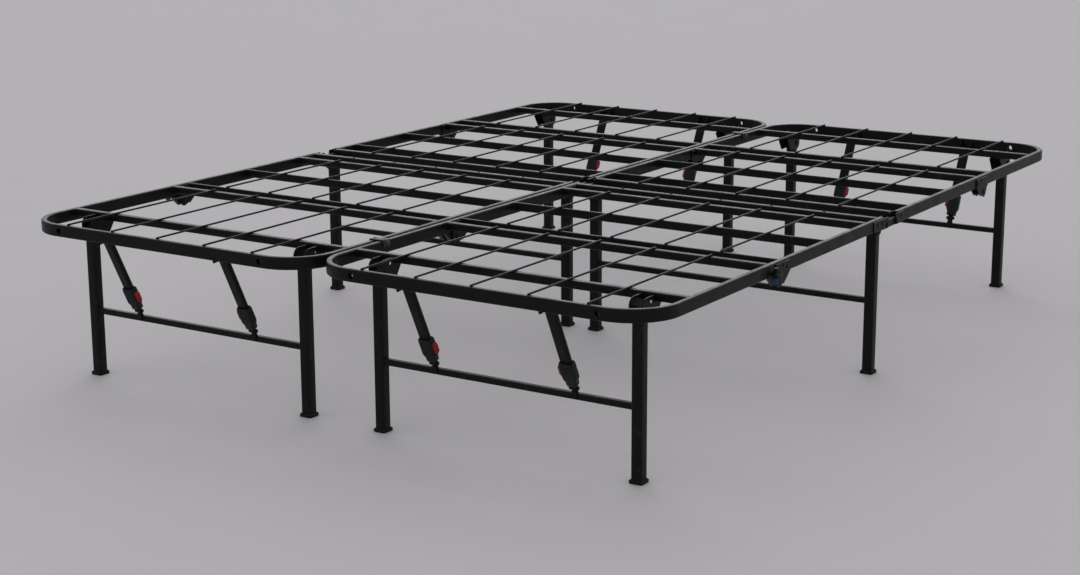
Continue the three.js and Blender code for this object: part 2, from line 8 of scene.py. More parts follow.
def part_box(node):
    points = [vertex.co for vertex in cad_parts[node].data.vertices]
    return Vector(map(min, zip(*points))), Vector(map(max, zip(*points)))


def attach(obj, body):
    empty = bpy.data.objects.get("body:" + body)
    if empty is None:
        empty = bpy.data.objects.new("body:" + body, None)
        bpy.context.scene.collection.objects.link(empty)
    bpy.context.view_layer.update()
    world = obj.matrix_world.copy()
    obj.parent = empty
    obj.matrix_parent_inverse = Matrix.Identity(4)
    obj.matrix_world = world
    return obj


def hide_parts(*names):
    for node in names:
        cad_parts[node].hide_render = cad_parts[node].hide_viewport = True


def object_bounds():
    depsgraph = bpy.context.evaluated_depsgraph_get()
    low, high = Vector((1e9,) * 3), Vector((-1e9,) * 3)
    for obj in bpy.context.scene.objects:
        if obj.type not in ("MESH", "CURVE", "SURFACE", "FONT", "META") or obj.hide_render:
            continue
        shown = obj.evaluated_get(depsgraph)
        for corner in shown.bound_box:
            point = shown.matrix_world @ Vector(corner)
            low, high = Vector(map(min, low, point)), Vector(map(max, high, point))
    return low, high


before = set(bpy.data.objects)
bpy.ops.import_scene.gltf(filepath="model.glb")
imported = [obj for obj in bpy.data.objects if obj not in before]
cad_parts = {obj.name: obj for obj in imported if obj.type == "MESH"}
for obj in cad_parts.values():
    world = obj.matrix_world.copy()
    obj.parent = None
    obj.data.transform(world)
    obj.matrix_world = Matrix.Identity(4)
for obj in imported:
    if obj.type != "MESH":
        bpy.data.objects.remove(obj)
CAD_BOX = [list(corner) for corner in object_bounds()]

MM = 0.001
LENGTH = CAD_BOX[1][1] - CAD_BOX[0][1]
TOP = CAD_BOX[1][2]
END_Y = CAD_BOX[0][1]

# Sections of tube and wire, as in the solids
RAIL_W, RAIL_H, WALL = 12.7 * MM, 25.4 * MM, 1.5 * MM
TUBE, BAR_T, BAR_H = 16 * MM, 8 * MM, 18 * MM
WIRE_R = 2.1 * MM
WIRE_PITCH = 124 * MM
DECK = TOP - 4 * MM
RAIL_Z = DECK - RAIL_H / 2
HALF_WIDTH = 759 * MM
CORNER_R = 100 * MM
EDGE_R = 3.2 * MM
LEG = 22.2 * MM

# Lengths along the bed, from the foot end
BREAK = 480 * MM
HINGE_Z = 312 * MM
LEG_TUBE = 150 * MM
FOOT_TUBES = (LEG_TUBE, 452 * MM)
HEAD_TUBES = (LEG_TUBE, 427 * MM)
NEAR_BARS, NEAR_TUBES = (500 * MM, 702 * MM), (900 * MM, 960 * MM)
FAR_BARS, FAR_TUBE, LINK_TUBE = (1122 * MM, 1330 * MM), 1519 * MM, 1040 * MM
LINK_NEAR, LINK_FAR, LINK_Z = 984 * MM, 1036 * MM, 332 * MM
LINK_RAIL_END = 11 * MM

END_LEG_INSET, END_LEG_Y, END_PIVOT_Z, END_BAR_Z = 90 * MM, 115 * MM, 317 * MM, 143 * MM
MID_LEG_INSET, MID_LEG_Y, MID_PIVOT_Z, MID_BAR_Z = 36.5 * MM, 1000 * MM, 314 * MM, 160 * MM
LEG_BAR = 13 * MM
HALF_GAP = 3 * MM  # from the centre plane to the inner rails
CLIP_Y, CLIP_LENGTH = 238 * MM, 20 * MM
DRILL_X, DRILL_Z, DRILL_R = 270 * MM, 337 * MM, 6 * MM  # bolt holes through the end rails
STRUT_X = 157 * MM
STRUT_Y, STRUT_Z = 27 * MM, 325 * MM
STRUT_W, STRUT_T = 24 * MM, 11 * MM
BUCKLE_START, BUCKLE_LENGTH, BUCKLE_GRIP = 122 * MM, 54 * MM, 7 * MM
BUCKLE_W, BUCKLE_T = 30 * MM, 18 * MM
BUTTON_L, BUTTON_W, BUTTON_OUT = 24 * MM, 11 * MM, 6.5 * MM
CAP_FLANGE = 8 * MM
BOLT_AT = BUCKLE_START + BUCKLE_LENGTH + 7 * MM
CHEEK = 2.5 * MM
RAIL_X = (HALF_WIDTH - RAIL_W) / 2
INNER_HALF = HALF_WIDTH / 2 - RAIL_W  # from a half's middle to the inner face of its rail
PLATE_IN = RAIL_W / 2 + 0.3 * MM  # from a rail's middle to the inner face of a break plate
EAR_T = RAIL_W - 1.4 * MM  # solid ears and links as thick as a rail, less a little play
BEND_STEP = 3  # degrees between the rings of a bend


# ---- Materials ----
def new_material(name, color, roughness, metallic=0.0, specular=0.5):
    mat = bpy.data.materials.new(name)
    mat.use_nodes = True
    tree = mat.node_tree
    shader = tree.nodes["Principled BSDF"]
    shader.inputs["Base Color"].default_value = (*color, 1)
    shader.inputs["Roughness"].default_value = roughness
    shader.inputs["Metallic"].default_value = metallic
    shader.inputs["Specular IOR Level"].default_value = specular
    return mat, tree, shader


def noise_node(tree, scale, detail=3.0, roughness=0.55):
    coords = tree.nodes.get("coords") or tree.nodes.new("ShaderNodeTexCoord")
    coords.name = "coords"
    node = tree.nodes.new("ShaderNodeTexNoise")
    node.inputs["Scale"].default_value = scale
    node.inputs["Detail"].default_value = detail
    node.inputs["Roughness"].default_value = roughness
    tree.links.new(coords.outputs["Object"], node.inputs["Vector"])
    return node


def ramp(tree, source, stops):
    node = tree.nodes.new("ShaderNodeValToRGB")
    while len(node.color_ramp.elements) < len(stops):
        node.color_ramp.elements.new(0.5)
    for element, (at, color) in zip(node.color_ramp.elements, stops):
        element.position = at
        element.color = (*color, 1) if len(color) == 3 else color
    tree.links.new(source, node.inputs["Fac"])
    return node.outputs["Color"]


def grey(value):
    return (value, value, value)


def bump(tree, shader, layers):
    """Layers of (height socket, distance in metres, strength), each on top of the last."""
    last = None
    for height, distance, strength in layers:
        node = tree.nodes.new("ShaderNodeBump")
        node.inputs["Distance"].default_value = distance
        node.inputs["Strength"].default_value = strength
        tree.links.new(height, node.inputs["Height"])
        if last:
            tree.links.new(last, node.inputs["Normal"])
        last = node.outputs["Normal"]
    tree.links.new(last, shader.inputs["Normal"])


def mixed(tree, factor, a, b):
    node = tree.nodes.new("ShaderNodeMix")
    node.data_type = "RGBA"
    tree.links.new(factor, node.inputs["Factor"])
    for socket, value in ((node.inputs[6], a), (node.inputs[7], b)):
        if isinstance(value, tuple):
            socket.default_value = (*value, 1)
        else:
            tree.links.new(value, socket)
    return node.outputs[2]


def powder_coat():
    mat, tree, shader = new_material("powder_coat", (0.004, 0.0055, 0.0042), 0.42, specular=0.13)
    patches = noise_node(tree, 9, 4)
    peel = noise_node(tree, 900, 2)
    grain = noise_node(tree, 2600, 1)
    base = ramp(tree, patches.outputs["Fac"],
                [(0.3, (0.0028, 0.0044, 0.0031)), (0.7, (0.0048, 0.0066, 0.0050))])
    geometry = tree.nodes.new("ShaderNodeNewGeometry")
    edges = ramp(tree, geometry.outputs["Pointiness"], [(0.54, grey(0)), (0.62, grey(1))])
    wear = noise_node(tree, 55, 5, 0.7)
    worn = ramp(tree, wear.outputs["Fac"], [(0.58, grey(0)), (0.68, grey(0.5))])
    both = tree.nodes.new("ShaderNodeMath")
    both.operation = "MULTIPLY"
    tree.links.new(edges, both.inputs[0])
    tree.links.new(worn, both.inputs[1])
    color = mixed(tree, both.outputs[0], base, (0.03, 0.03, 0.029))
    tree.links.new(color, shader.inputs["Base Color"])
    rough = ramp(tree, noise_node(tree, 30, 4).outputs["Fac"], [(0.3, grey(0.34)), (0.7, grey(0.46))])
    tree.links.new(rough, shader.inputs["Roughness"])
    bump(tree, shader, [(peel.outputs["Fac"], 0.00018, 0.35), (grain.outputs["Fac"], 0.00006, 0.3)])
    return mat


def weld_coat():
    mat, tree, shader = new_material("weld_coat", (0.004, 0.0055, 0.0042), 0.5, specular=0.15)
    lumps = noise_node(tree, 420, 4, 0.65)
    base = ramp(tree, lumps.outputs["Fac"], [(0.3, (0.003, 0.0045, 0.0034)), (0.75, (0.008, 0.0095, 0.008))])
    tree.links.new(base, shader.inputs["Base Color"])
    fine = noise_node(tree, 1500)
    bump(tree, shader, [(lumps.outputs["Fac"], 0.0006, 0.6), (fine.outputs["Fac"], 0.0001, 0.4)])
    return mat


def plastic(name, dark, light, roughness, grain=1400):
    mat, tree, shader = new_material(name, light, roughness, specular=0.18)
    patches = noise_node(tree, 24, 3)
    color = ramp(tree, patches.outputs["Fac"], [(0.3, dark), (0.7, light)])
    tree.links.new(color, shader.inputs["Base Color"])
    cells = tree.nodes.new("ShaderNodeTexVoronoi")
    cells.inputs["Scale"].default_value = grain
    tree.links.new(tree.nodes["coords"].outputs["Object"], cells.inputs["Vector"])
    rough = ramp(tree, noise_node(tree, 120, 3).outputs["Fac"],
                 [(0.3, grey(roughness - 0.05)), (0.7, grey(roughness + 0.06))])
    tree.links.new(rough, shader.inputs["Roughness"])
    fine = noise_node(tree, 700)
    bump(tree, shader, [(cells.outputs["Distance"], 0.00012, 0.3), (fine.outputs["Fac"], 0.0001, 0.25)])
    return mat


COAT = powder_coat()
WELD = weld_coat()
CAP = plastic("cap_plastic", (0.0025, 0.0035, 0.0027), (0.0045, 0.0058, 0.0045), 0.62)
BUCKLE = plastic("buckle_plastic", (0.006, 0.008, 0.007), (0.010, 0.013, 0.0115), 0.5)
RED = plastic("red_plastic", (0.19, 0.014, 0.016), (0.30, 0.024, 0.025), 0.45, 1800)
BLUE = plastic("blue_sleeve", (0.008, 0.04, 0.10), (0.013, 0.06, 0.15), 0.42, 1800)
GREY = plastic("grey_clip", (0.035, 0.038, 0.036), (0.055, 0.058, 0.055), 0.45)


# ---- Mesh building ----
class Geo:
    """Faces in plain lists, moved and joined before they become a mesh."""

    def __init__(self, verts=None, faces=None):
        self.verts = verts or []
        self.faces = faces or []

    def add(self, other, matrix=None):
        base = len(self.verts)
        self.verts += [matrix @ v for v in other.verts] if matrix else list(other.verts)
        self.faces += [tuple(base + i for i in face) for face in other.faces]
        return self

    def moved(self, matrix):
        return Geo().add(self, matrix)


def at(x=0.0, y=0.0, z=0.0):
    return Matrix.Translation((x, y, z))


def round_rect(w, h, r, steps=4):
    """A closed loop of (a, b) points, counter-clockwise."""
    points = []
    for cx, cy, start in ((1, 1, 0), (-1, 1, 90), (-1, -1, 180), (1, -1, 270)):
        for i in range(steps + 1):
            a = math.radians(start + 90 * i / steps)
            points.append((cx * (w / 2 - r) + r * math.cos(a), cy * (h / 2 - r) + r * math.sin(a)))
    return points


def circle(r, sides):
    turns = [2 * math.pi * i / sides for i in range(sides)]
    return [(r * math.cos(a), r * math.sin(a)) for a in turns]


def frames_along(path, up):
    """For each point of the path: the point, its sideways and its upward direction."""
    found = []
    for i, p in enumerate(path):
        before = path[max(i - 1, 0)]
        after = path[min(i + 1, len(path) - 1)]
        t = (after - before).normalized()
        side = t.cross(up)
        if side.length < 1e-4:
            side = t.cross(Vector((0, 1, 0)))
        side.normalize()
        found.append((p, side, side.cross(t)))
    return found


def rings_to_geo(rings, close_start=True, close_end=True, loop=False):
    n = len(rings[0])
    verts = [v for ring in rings for v in ring]
    faces = []
    for k in range(len(rings) if loop else len(rings) - 1):
        a, b = k * n, (k + 1) % len(rings) * n
        for i in range(n):
            j = (i + 1) % n
            faces.append((a + i, a + j, b + j, b + i))
    if not loop and close_start:
        faces.append(tuple(reversed(range(n))))
    if not loop and close_end:
        faces.append(tuple(range(len(verts) - n, len(verts))))
    return Geo(verts, faces)


def sweep(path, profile, up=Vector((0, 0, 1)), bore=None):
    """A profile carried along a path; with a bore, a tube that is open at both ends."""
    frames = frames_along(path, up)
    outer = [[p + s * a + u * b for a, b in profile] for p, s, u in frames]
    if not bore:
        return rings_to_geo(outer)
    inner = [[p + s * a + u * b for a, b in bore] for p, s, u in frames]
    return rings_to_geo(outer + inner[::-1], loop=True)


def straight(a, b, profile, up=Vector((0, 0, 1)), bore=None):
    return sweep([Vector(a), Vector(b)], profile, up, bore)


def lathe(profile, sides=20):
    """(radius, height) pairs turned about Z."""
    return rings_to_geo([[Vector((a, b, z)) for a, b in circle(r, sides)] for r, z in profile])


TURN_X = Matrix.Rotation(math.radians(90), 4, "Y")  # Z to X


def rivet(x0, x1, y, z, r, head=1.7, dome=2.0 * MM):
    """A rivet along X whose domed heads stand on the faces at x0 and x1."""
    big = r * head
    side = [(big, 0), (big, dome * 0.35), (big * 0.86, dome * 0.72), (big * 0.55, dome * 0.93),
            (big * 0.12, dome)]
    near = [(rr, x0 - h) for rr, h in reversed(side)]
    far = [(rr, x1 + h) for rr, h in side]
    return lathe([*near, (r, x0), (r, x1), *far]).moved(at(0, y, z) @ TURN_X)


def corner_points(points, r, steps=4):
    """The outline with each corner rounded; r is one radius or one for each corner."""
    out = []
    n = len(points)
    for i, p in enumerate(points):
        radius = r[i] if isinstance(r, (list, tuple)) else r
        p, a, b = Vector(p), Vector(points[i - 1]), Vector(points[(i + 1) % n])
        da, db = (a - p), (b - p)
        cut = min(radius, da.length * 0.48, db.length * 0.48)
        if cut < 1e-5:
            out.append(tuple(p))
            continue
        start, end = p + da.normalized() * cut, p + db.normalized() * cut
        for k in range(steps + 1):
            t = k / steps
            q = start * (1 - t) ** 2 + p * 2 * t * (1 - t) + end * t ** 2
            out.append((q.x, q.y))
    return out


def circle_points(cx, cy, r, sides=20):
    return [(cx + a, cy + b) for a, b in circle(r, sides)]


def plate(outline, thickness, holes=(), bevel=0.45 * MM):
    """A flat plate with softened edges: outline and holes in (u, v), thickness along w, centred."""
    curve = bpy.data.curves.new("plate", "CURVE")
    curve.dimensions = "2D"
    curve.fill_mode = "BOTH"
    curve.extrude = thickness / 2 - bevel
    curve.bevel_depth = bevel
    curve.bevel_resolution = 1
    curve.offset = -bevel
    for loop in [outline, *holes]:
        spline = curve.splines.new("POLY")
        spline.points.add(len(loop) - 1)
        for point, (u, v) in zip(spline.points, loop):
            point.co = (u, v, 0, 1)
        spline.use_cyclic_u = True
    holder = bpy.data.objects.new("plate", curve)
    bpy.context.scene.collection.objects.link(holder)
    graph = bpy.context.evaluated_depsgraph_get()
    mesh = bpy.data.meshes.new_from_object(holder.evaluated_get(graph))
    geo = Geo([v.co.copy() for v in mesh.vertices], [tuple(p.vertices) for p in mesh.polygons])
    bpy.data.objects.remove(holder)
    bpy.data.curves.remove(curve)
    bpy.data.meshes.remove(mesh)
    return geo


YZ = Matrix(((0, 0, 1, 0), (1, 0, 0, 0), (0, 1, 0, 0), (0, 0, 0, 1)))  # plate (u, v, w) to (Y, Z, X)
XZ = Matrix(((1, 0, 0, 0), (0, 0, -1, 0), (0, 1, 0, 0), (0, 0, 0, 1)))  # plate (u, v, w) to (X, Z, -Y)


def bead(path, r=1.9 * MM, seed=0.0):
    """A weld bead: a lumpy rope with ripples along its length."""
    fine = [path[0]]
    for a, b in zip(path, path[1:]):
        steps = max(1, int((b - a).length / (1.1 * MM)))
        fine += [a.lerp(b, (k + 1) / steps) for k in range(steps)]
    rings = []
    for i, (p, side, up) in enumerate(frames_along(fine, Vector((1, 0, 0)))):
        swell = 1 + 0.16 * math.sin(i * 2.1) + 0.25 * noise.noise(p * 160 + Vector((seed, 0, 0)))
        rr = r * swell * (0.55 if i in (0, len(fine) - 1) else 1)
        rings.append([p + side * rr * a + up * rr * b for a, b in circle(1, 7)])
    return rings_to_geo(rings)


def saddle(x, y, z, rx, ry, rz):
    """A small mound of weld, cut flat at its middle height."""
    rings = []
    for k in range(4):
        a = math.radians(90 * k / 3.4)
        rings.append([Vector((x + rx * math.cos(a) * c, y + ry * math.cos(a) * s, z + rz * math.sin(a)))
                      for c, s in circle(1, 10)])
    return rings_to_geo(rings)


def outward(mesh):
    """Turn every closed shell's faces outwards."""
    shells = bmesh.new()
    shells.from_mesh(mesh)
    bmesh.ops.recalc_face_normals(shells, faces=shells.faces)
    shells.to_mesh(mesh)
    shells.free()
    mesh.update()


def build(name, geo, matrix, body, material, replaced=(), angle=38):
    mesh = bpy.data.meshes.new(name)
    mesh.from_pydata([matrix @ v for v in geo.verts], [], geo.faces)
    mesh.validate()
    outward(mesh)
    mesh.shade_smooth()
    mesh.set_sharp_from_angle(angle=math.radians(angle))
    mesh.materials.append(material)
    piece = bpy.data.objects.new(name, mesh)
    bpy.context.scene.collection.objects.link(piece)
    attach(piece, body)
    if replaced:
        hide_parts(*replaced)
    return piece


# ---- Deck tubes and rails ----
def rail_profiles():
    outer = round_rect(RAIL_W, RAIL_H, EDGE_R)
    bore = round_rect(RAIL_W - 2 * WALL, RAIL_H - 2 * WALL, EDGE_R - WALL)
    return outer, bore


def side_rail(x, y0, y1):
    outer, bore = rail_profiles()
    return straight((x, y0, RAIL_Z), (x, y1, RAIL_Z), outer, bore=bore)


def bent_rail(reach):
    """The U-shaped end rail with crush-bent corners: ripples run down the inside of each bend."""
    half = HALF_WIDTH / 2 - RAIL_W / 2
    r = CORNER_R - RAIL_W / 2
    path = [Vector((half, reach, RAIL_Z))]
    bends = []
    for sx in (1, -1):
        centre = Vector((sx * (half - r), RAIL_W / 2 + r, RAIL_Z))
        angles = range(0, 91, BEND_STEP) if sx > 0 else range(90, -1, -BEND_STEP)
        for a in angles:
            d = math.radians(a)
            bends.append(len(path))
            path.append(centre + Vector((sx * r * math.cos(d), -r * math.sin(d), 0)))
    path.append(Vector((-half, reach, RAIL_Z)))
    outer, bore = rail_profiles()
    frames = frames_along(path, Vector((0, 0, 1)))
    rings, inner = [], []
    steps = 90 // BEND_STEP
    for i, (p, side, up) in enumerate(frames):
        k = bends.index(i) % (steps + 1) if i in bends else 0
        bite = math.sin(math.pi * k / steps) * (0.55 + 0.45 * math.sin(k * 1.25)) if i in bends else 0
        ring = []
        for a, b in outer:
            inside = max(0.0, a / (RAIL_W / 2)) ** 2
            low = 1 - (abs(b) / (RAIL_H / 2)) ** 2 * 0.6
            ring.append(p + side * (a - 1.3 * MM * bite * inside * low) + up * b)
        rings.append(ring)
        inner.append([p + side * a + up * b for a, b in bore])
    tube = rings_to_geo(rings + inner[::-1], loop=True)
    drills = []
    for x in (-DRILL_X, DRILL_X):
        drills.append(straight((x, -2 * MM, DRILL_Z), (x, RAIL_W + 2 * MM, DRILL_Z), circle(DRILL_R, 20)))
    return cut("end_rail", tube, drills)


def cross_tube(y, w, h, reach):
    z = DECK - h / 2
    return straight((-reach, y, z), (reach, y, z), round_rect(w, h, min(EDGE_R, w * 0.3)))


def tube_welds(y, w, h, x, seed):
    """A bead down one side of a cross tube's end, under it and up the other side."""
    r = 2.6 * MM
    z1, z0 = DECK - 1.5 * MM, DECK - h
    near, far = y - w / 2, y + w / 2
    path = [(near, z1), (near, z0 + r), (near + r * 0.8, z0), (far - r * 0.8, z0), (far, z0 + r), (far, z1)]
    return bead([Vector((x, u, v)) for u, v in path], 1.7 * MM, seed)


def wire_path(x, y0, y1, tip):
    z = TOP - WIRE_R
    path = [Vector((x, y0, z))]
    if not tip:
        return path + [Vector((x, y1, z))]
    r = 5.5 * MM
    for k in range(7):
        a = math.radians(90 * k / 6)
        path.append(Vector((x, y1 - r + r * math.sin(a), z - r + r * math.cos(a))))
    path.append(Vector((x, y1, z - 13 * MM)))
    return path


def wire_end(geo, x, y, z, down):
    """The sheared end of a wire, softened."""
    ring = [(WIRE_R, 0), (WIRE_R * 0.93, 0.5 * MM), (WIRE_R * 0.6, 0.9 * MM)]
    turn = Matrix.Rotation(math.radians(180), 4, "X") if down else Matrix.Rotation(math.radians(90), 4, "X")
    geo.add(lathe(ring, 12), at(x, y, z) @ turn)


def deck_wires(y0, y1, crossings, tip):
    wires, welds = Geo(), Geo()
    for i in range(5):
        x = (i - 2) * WIRE_PITCH
        path = wire_path(x, y0, y1, tip)
        wires.add(sweep(path, circle(WIRE_R, 12), up=Vector((1, 0, 0))))
        if tip:
            wire_end(wires, x, y1, TOP - WIRE_R - 13 * MM, True)
        wire_end(wires, x, y0, TOP - WIRE_R, False)
        for y in crossings:
            welds.add(saddle(x, y, DECK - 0.3 * MM, 3.9 * MM, 2.9 * MM, 1.8 * MM))
        if tip:
            for z in (TOP - 12 * MM, TOP - 15.5 * MM):
                turn = at(x, y1 - WIRE_R, z) @ Matrix.Rotation(math.radians(90), 4, "X")
                welds.add(saddle(0, 0, -0.6 * MM, 3.7 * MM, 2.0 * MM, 2.0 * MM).moved(turn))
    return wires, welds


# ---- Brackets ----
def arc_points(cy, cz, r, start, end, steps=8):
    out = []
    for k in range(steps + 1):
        a = math.radians(start + (end - start) * k / steps)
        out.append((cy + r * math.cos(a), cz + r * math.sin(a)))
    return out


def cheek_plate(x, side):
    """The outer or inner plate that straddles a break, with its pressed edge and rivets."""
    y = BREAK
    outline = corner_points([(y - 16 * MM, DECK - 3 * MM), (y + 46 * MM, DECK - 3 * MM),
                             (y + 46 * MM, RAIL_Z - 11 * MM), (y + 18 * MM, HINGE_Z - 9 * MM)], 3.5 * MM)
    outline += arc_points(y, HINGE_Z, 12 * MM, -50, -170)
    outline += [(y - 16 * MM, HINGE_Z + 4 * MM)]
    out = Geo()
    mid = x + side * (PLATE_IN + CHEEK / 2)
    out.add(plate(outline, CHEEK), at(mid) @ YZ)
    outer = x + side * (PLATE_IN + CHEEK)
    out.add(rivet(*sorted((x + side * RAIL_W / 2, outer)), y, HINGE_Z, 4 * MM, 1.75, 2.2 * MM))
    for dy, z in ((16, RAIL_Z + 4 * MM), (34, RAIL_Z - 3 * MM)):
        ends = sorted((x + side * (RAIL_W / 2 - 1 * MM), outer))
        out.add(rivet(*ends, y + dy * MM, z, 2.6 * MM, 1.8, 1.4 * MM))
    pad0, pad1 = sorted((x + side * (RAIL_W / 2 - 0.2 * MM), x + side * (RAIL_W / 2 + 0.6 * MM)))
    pad = corner_points([(y + 6 * MM, RAIL_Z - 8 * MM), (y + 42 * MM, RAIL_Z - 8 * MM),
                         (y + 42 * MM, RAIL_Z + 8 * MM), (y + 6 * MM, RAIL_Z + 8 * MM)], 2 * MM)
    out.add(plate(pad, pad1 - pad0, bevel=0.1 * MM), at((pad0 + pad1) / 2) @ YZ)
    return out


def break_pin(x):
    reach = PLATE_IN + CHEEK
    ends = [(x + side * reach, BREAK, HINGE_Z) for side in (-1, 1)]
    return straight(*ends, circle(4 * MM, 16))


def break_ear(x):
    y = BREAK
    outline = [(y - 34 * MM, RAIL_Z - RAIL_H / 2 + 0.3 * MM), (y - 14 * MM, HINGE_Z - 6 * MM)]
    outline += arc_points(y, HINGE_Z, 8.5 * MM, -130, 55, 12)
    outline += [(y - 1 * MM, RAIL_Z - RAIL_H / 2 + 0.3 * MM)]
    hole = circle_points(y, HINGE_Z, 4.5 * MM)
    return plate(outline, EAR_T, [hole], 0.8 * MM).moved(at(x) @ YZ)


def link_cheek(x, side, pivot, to_rail, length):
    tip = pivot - to_rail * 8 * MM
    back = pivot + to_rail * length
    outline = [(back, RAIL_Z - 12 * MM), (back, DECK - 2 * MM), (tip, DECK - 2 * MM),
               (tip, RAIL_Z - RAIL_H / 2)]
    if to_rail > 0:
        outline.reverse()
    mid = x + side * (RAIL_W / 2 - 0.2 * MM + CHEEK / 2)
    out = plate(corner_points(outline, 4 * MM), CHEEK).moved(at(mid) @ YZ)
    outer = x + side * (RAIL_W / 2 - 0.2 * MM + CHEEK)
    inner = x + side * (RAIL_W / 2 - 1.5 * MM)
    out.add(rivet(*sorted((inner, outer)), pivot, LINK_Z, 4 * MM, 1.7, 1.9 * MM))
    for along in ((22, 46) if length > 50 * MM else (24,)):
        y = pivot + to_rail * along * MM
        out.add(rivet(*sorted((inner, outer)), y, RAIL_Z + 1 * MM, 3 * MM, 1.7, 1.4 * MM))
    return out


def leg_bracket(x):
    """Two round-nosed cheeks on the front and the underside of the leg tube."""
    y, nose = END_LEG_Y, 16 * MM
    face, under = LEG_TUBE - TUBE / 2 + 0.2 * MM, DECK - TUBE + 0.2 * MM
    outline = [(LEG_TUBE + 18 * MM, DECK - TUBE - 1 * MM), (LEG_TUBE - 2 * MM, END_PIVOT_Z - 15 * MM)]
    outline += arc_points(y, END_PIVOT_Z, nose, -60, -180, 12)
    outline += arc_points(y, DECK - 4 * MM - nose, nose, 180, 90, 10)
    outline += [(face, DECK - 4 * MM), (face, under), (LEG_TUBE + TUBE / 2, under)]
    outline.reverse()
    out = Geo()
    pin_hole = circle_points(y, END_PIVOT_Z, 5.1 * MM)
    spare_hole = circle_points(y + 16 * MM, DECK - 13 * MM, 4.6 * MM)
    for side, holes in ((-1, [pin_hole]), (1, [pin_hole, spare_hole])):
        out.add(plate(outline, CHEEK, holes), at(x + side * (LEG / 2 + 1 * MM + CHEEK / 2)) @ YZ)
    return out


def strut_bracket(x):
    y, z = STRUT_Y, STRUT_Z
    face = RAIL_W - 0.2 * MM
    outline = [(face, z - 9 * MM), *arc_points(y, z, 8.5 * MM, -60, 60),
               (face + 5 * MM, DECK - 3 * MM), (face, DECK - 3 * MM)]
    out = Geo()
    inside = STRUT_W / 2 + 0.6 * MM
    for side in (-1, 1):
        out.add(plate(outline, 2 * MM), at(x + side * (inside + 1 * MM)) @ YZ)
    out.add(rivet(x - inside - 2 * MM, x + inside + 2 * MM, y, z, 4 * MM, 1.6, 1.6 * MM))
    return out


def middle_ear(x, inward):
    """The angle under a rail: its flange runs from the rail to the cheek beside the leg."""
    y = MID_LEG_Y
    low = RAIL_Z - RAIL_H / 2
    outline = [(y - 30 * MM, low + 4 * MM), (y - 30 * MM, low - 3 * MM)]
    outline += arc_points(y, MID_PIVOT_Z, 10 * MM, -150, 20, 12) + [(y + 2 * MM, low + 4 * MM)]
    hole = circle_points(y, MID_PIVOT_Z, 5.1 * MM)
    near = MID_LEG_INSET - LEG / 2 - 1 * MM - CHEEK - RAIL_W / 2
    out = plate(outline, CHEEK, [hole]).moved(at(x + inward * (near + CHEEK / 2)) @ YZ)
    x0, x1 = sorted((x + inward * (RAIL_W / 2 - 0.2 * MM), x + inward * (near + CHEEK - 0.3 * MM)))
    y0, y1 = y - 29.7 * MM, y - 12 * MM
    flange = corner_points([(x0, y0), (x1, y0), (x1, y1), (x0, y1)], 1 * MM)
    out.add(plate(flange, CHEEK), at(0, 0, low + 2.7 * MM))
    return out


# ---- Sections, drawn round x = 0 with y from the foot end ----
def end_section(tubes, tip):
    reach = INNER_HALF + 1 * MM
    body, brackets, welds = bent_rail(BREAK - 0.15 * MM), Geo(), Geo()
    for i, y in enumerate(tubes):
        body.add(cross_tube(y, TUBE, TUBE, reach))
        for side in (-1, 1):
            welds.add(tube_welds(y, TUBE, TUBE, side * INNER_HALF, i + side * 3.1))
    for side in (-1, 1):
        x = side * (HALF_WIDTH / 2 - END_LEG_INSET)
        brackets.add(leg_bracket(x))
        brackets.add(strut_bracket(side * STRUT_X))
        brackets.add(break_ear(side * RAIL_X))
        for edge in (-1, 1):
            px = x + edge * (LEG / 2 + 1 * MM + CHEEK)
            z = DECK - TUBE + 0.4 * MM
            path = [Vector((px, LEG_TUBE - 8 * MM, z)), Vector((px, LEG_TUBE + 9 * MM, z))]
            welds.add(bead(path, 1.6 * MM, px))
            sx = side * STRUT_X + edge * (STRUT_W / 2 + 2.6 * MM)
            sy = RAIL_W + 0.3 * MM
            path = [Vector((sx, sy, STRUT_Z - 7 * MM)), Vector((sx, sy, DECK - 5 * MM))]
            welds.add(bead(path, 1.5 * MM, sx))
    last = tubes[1] + TUBE / 2
    if tip:
        wires, spots = deck_wires(RAIL_W / 2, last + WIRE_R - 0.2 * MM, (RAIL_W / 2 + 2 * MM, *tubes), True)
    else:
        wires, spots = deck_wires(3.2 * MM, last, (RAIL_W / 2, *tubes), False)
    welds.add(spots)
    return body, wires, brackets, welds


def middle_section(bars, tubes, wire_ends, rail, pivot, to_rail, cheek_length, ears):
    body, brackets, welds = Geo(), Geo(), Geo()
    reach = INNER_HALF + 1 * MM
    for side in (-1, 1):
        x = side * RAIL_X
        body.add(side_rail(x, *rail))
        for face in (-1, 1):
            brackets.add(link_cheek(x, face, pivot, to_rail, cheek_length))
        if ears:
            brackets.add(middle_ear(x, -side))
    sizes = [(y, BAR_T, BAR_H) for y in bars] + [(y, TUBE, TUBE) for y in tubes]
    for i, (y, w, h) in enumerate(sizes):
        short = CHEEK if abs(y - LINK_TUBE) < 1 * MM else 0
        body.add(cross_tube(y, w, h, reach - short))
        for side in (-1, 1):
            welds.add(tube_welds(y, w, h, side * (INNER_HALF - short), i + side * 2.7))
    wires, spots = deck_wires(*wire_ends, [y for y, _, _ in sizes], True)
    return body, wires, brackets, welds.add(spots)


